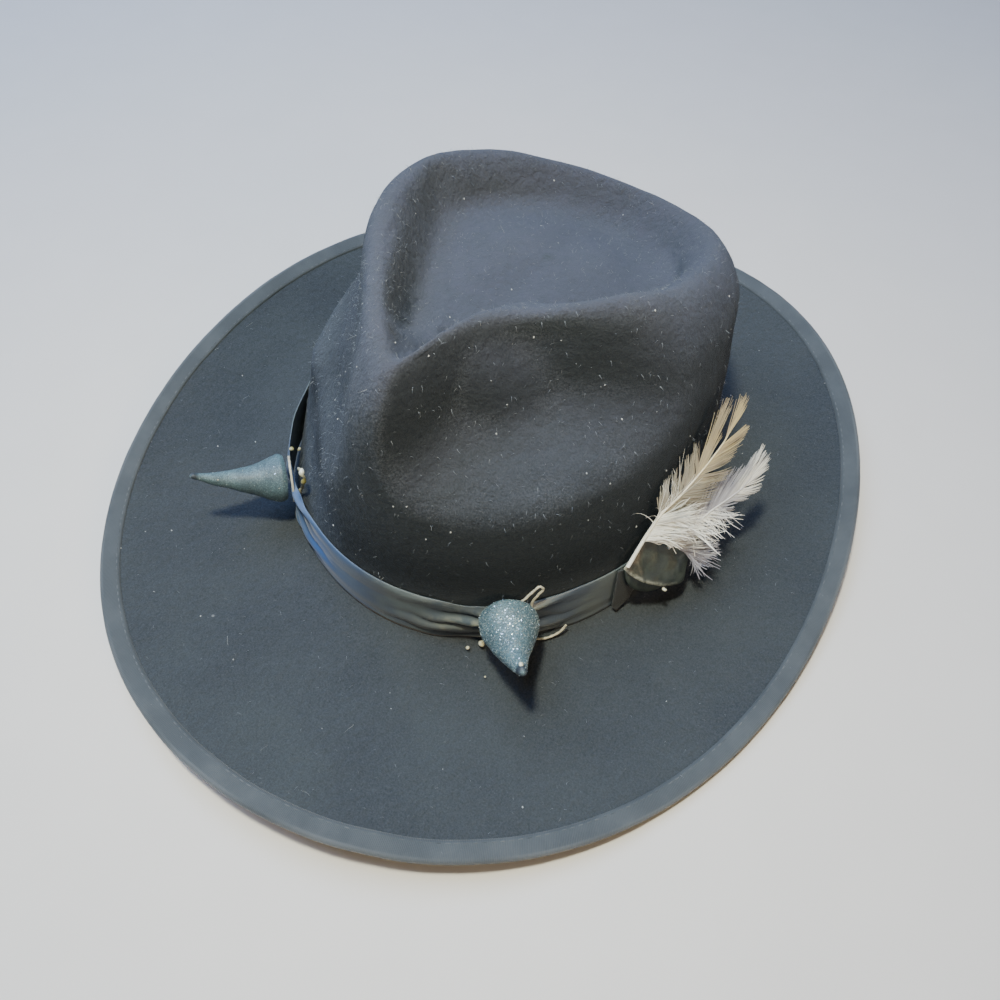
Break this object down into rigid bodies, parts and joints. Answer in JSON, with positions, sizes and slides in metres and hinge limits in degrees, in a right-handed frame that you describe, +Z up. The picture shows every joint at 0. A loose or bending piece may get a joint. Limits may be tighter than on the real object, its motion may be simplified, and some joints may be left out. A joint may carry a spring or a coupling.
{
  "type": "felt hat",
  "caption": "Wide-brimmed felt hat with teardrop pinched crown, bound brim edge, gathered satin band, small horn ornaments and feathers in a folded tab",
  "frame": {"origin": "centre of the hat's outline seen from above, on the plane the hat rests on", "axes": "+Z up; the wearer faces -Y, so the pinched nose of the crown points to -Y; the wearer's left side, with the feathers, is +X"},
  "size_m": [0.3074, 0.3567, 0.1193],
  "materials": {
    "felt": "matte brushed wool felt, near black with a blue cast",
    "binding_ribbon": "ribbed grosgrain ribbon, dark grey",
    "band_satin": "satin ribbon with a soft blue sheen, gathered in small folds",
    "horn_glitter": "pale blue-grey glitter coat",
    "tie_cord": "thin pale cord",
    "tab_leather": "black, glossy, rubbed pale at one edge",
    "keeper_ribbon": "black ribbon",
    "feather_tan": "soft vane, tan tip and pale downy base",
    "feather_grey": "soft vane, grey with white downy base"
  },
  "bodies": {
    "root": {"felt_body": "felt", "brim_binding": "binding_ribbon", "hat_band": "band_satin", "horn_left": "horn_glitter", "horn_right": "horn_glitter", "horn_tie_left": "tie_cord", "horn_tie_right": "tie_cord", "feather_tab": "tab_leather", "band_keeper": "keeper_ribbon", "feather_long": "feather_tan", "feather_short": "feather_grey"}
  },
  "joints": []
}
